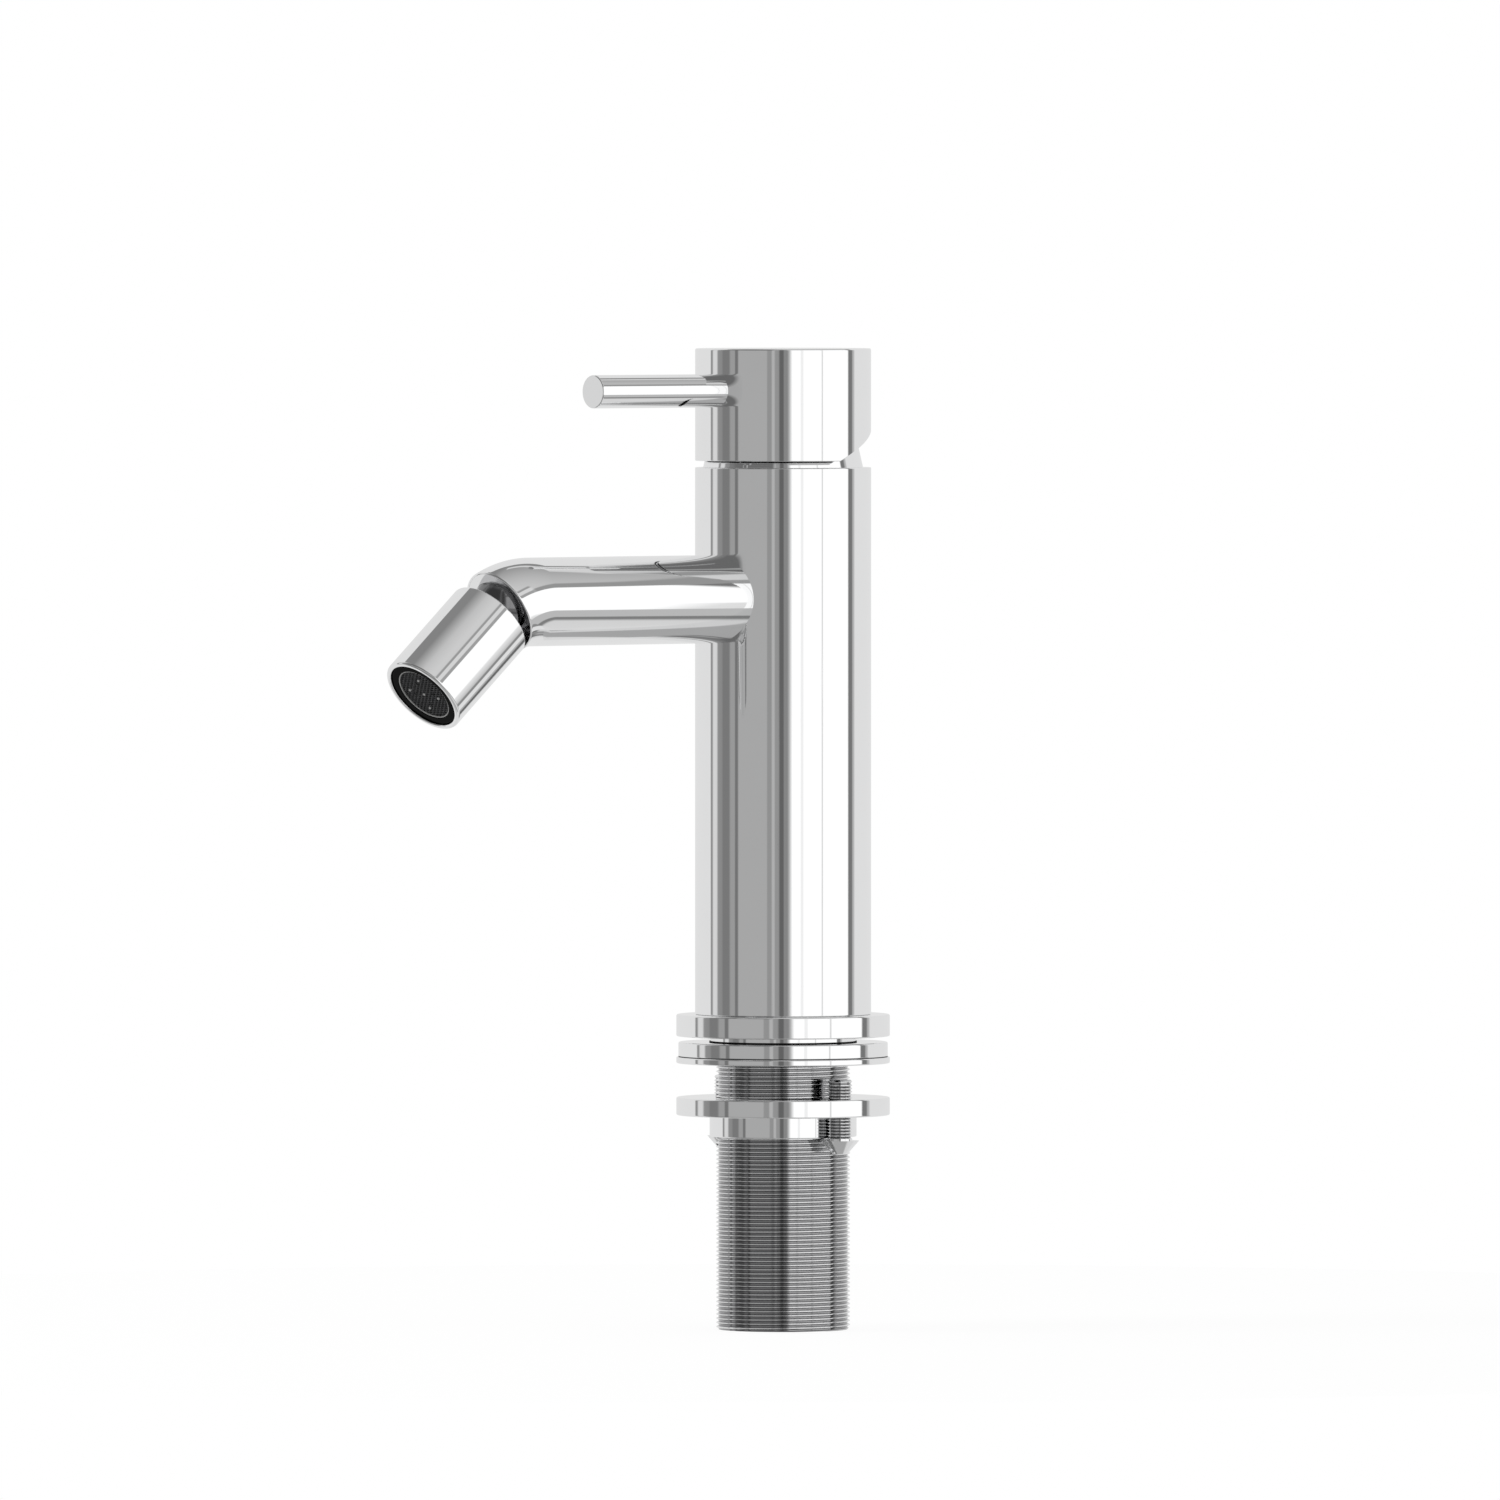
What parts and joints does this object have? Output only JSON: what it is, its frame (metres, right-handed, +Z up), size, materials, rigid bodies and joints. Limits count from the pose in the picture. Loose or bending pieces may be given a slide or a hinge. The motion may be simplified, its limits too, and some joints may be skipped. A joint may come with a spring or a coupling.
{
  "type": "bidet mixer tap",
  "caption": "Single-lever bidet mixer tap with a round barrel, pin lever, short bent spout with a swivel outlet head, and a threaded shank with lock nut.",
  "frame": {"origin": "middle of the deck hole at the deck's top face, on the barrel's axis", "axes": "+Z up the barrel, spout and lever towards -Y, +X to the right seen from the front"},
  "size_m": [0.051, 0.1442, 0.2343],
  "materials": {
    "chrome": "polished chrome plate on brass",
    "brass": "turned",
    "steel": "fine brushed stainless",
    "white_plastic": "moulded acetal",
    "black_plastic": "moulded, slightly shiny",
    "ceramic": "lapped alumina",
    "rubber": "smooth"
  },
  "bodies": {
    "body": {"body_barrel": "chrome", "spout_pipe": "chrome", "socket_ring": "chrome", "base_ring": "chrome", "base_o_ring": "rubber", "threaded_shank": "chrome", "cartridge_base": "white_plastic", "port_seals": "rubber", "lower_ceramic_disc": "ceramic", "cartridge_housing": "white_plastic", "cartridge_nut": "brass", "dome_ring": "chrome"},
    "carrier": {"cartridge_carrier": "white_plastic", "spindle_pin": "steel"},
    "handle": {"cartridge_spindle": "steel", "handle_cap": "chrome", "lever_rod": "chrome", "cap_grub_screw": "steel"},
    "sliding_disc": {"upper_ceramic_disc": "ceramic", "disc_holder": "white_plastic"},
    "ball_cup": {"ball_cup": "white_plastic"},
    "swivel_head": {"swivel_ball": "chrome", "head_sleeve": "chrome", "aerator_seal": "rubber", "aerator_cage": "black_plastic", "aerator_insert": "black_plastic", "aerator_mesh": "black_plastic"},
    "lock_nut": {"lock_nut": "chrome"},
    "clamp_rings": {"clamp_ring": "chrome", "clamp_washer": "chrome"},
    "jack_screw_left": {"jack_screw_left": "chrome"},
    "jack_screw_right": {"jack_screw_right": "chrome"}
  },
  "joints": [
    {"name": "handle_turn", "type": "hinge", "parent": "body", "child": "carrier", "pos_m": [0, 0, 0.1395], "axis": [0, 0, 1], "range_deg": [-45, 45]},
    {"name": "handle_tilt", "type": "hinge", "parent": "carrier", "child": "handle", "pos_m": [0, 0, 0.1395], "axis": [-1, 0, 0], "range_deg": [0, 22]},
    {"name": "disc_slide", "type": "slide", "parent": "carrier", "child": "sliding_disc", "axis": [0, -1, 0], "range_m": [0, 0.0052]},
    {"name": "head_swing", "type": "hinge", "parent": "body", "child": "ball_cup", "pos_m": [0, -0.08697, 0.10424], "axis": [0, -0.5, 0.866], "range_deg": [-12, 12]},
    {"name": "head_tilt", "type": "hinge", "parent": "ball_cup", "child": "swivel_head", "pos_m": [0, -0.08697, 0.10424], "axis": [1, 0, 0], "range_deg": [-22.7, 1.3]},
    {"name": "lock_nut_travel", "type": "slide", "parent": "body", "child": "lock_nut", "axis": [0, 0, 1], "range_m": [-0.04, 0]},
    {"name": "clamp_rings_slide", "type": "slide", "parent": "lock_nut", "child": "clamp_rings", "axis": [0, 0, 1], "range_m": [-0.0034, 0]},
    {"name": "jack_screw_left_travel", "type": "slide", "parent": "lock_nut", "child": "jack_screw_left", "axis": [0, 0, 1], "range_m": [-0.0045, 0]},
    {"name": "jack_screw_right_travel", "type": "slide", "parent": "lock_nut", "child": "jack_screw_right", "axis": [0, 0, 1], "range_m": [-0.0045, 0]}
  ],
  "couplings": [
    {"joint": "disc_slide", "follows": "handle_tilt", "m_per_rad": 0.0132}
  ]
}
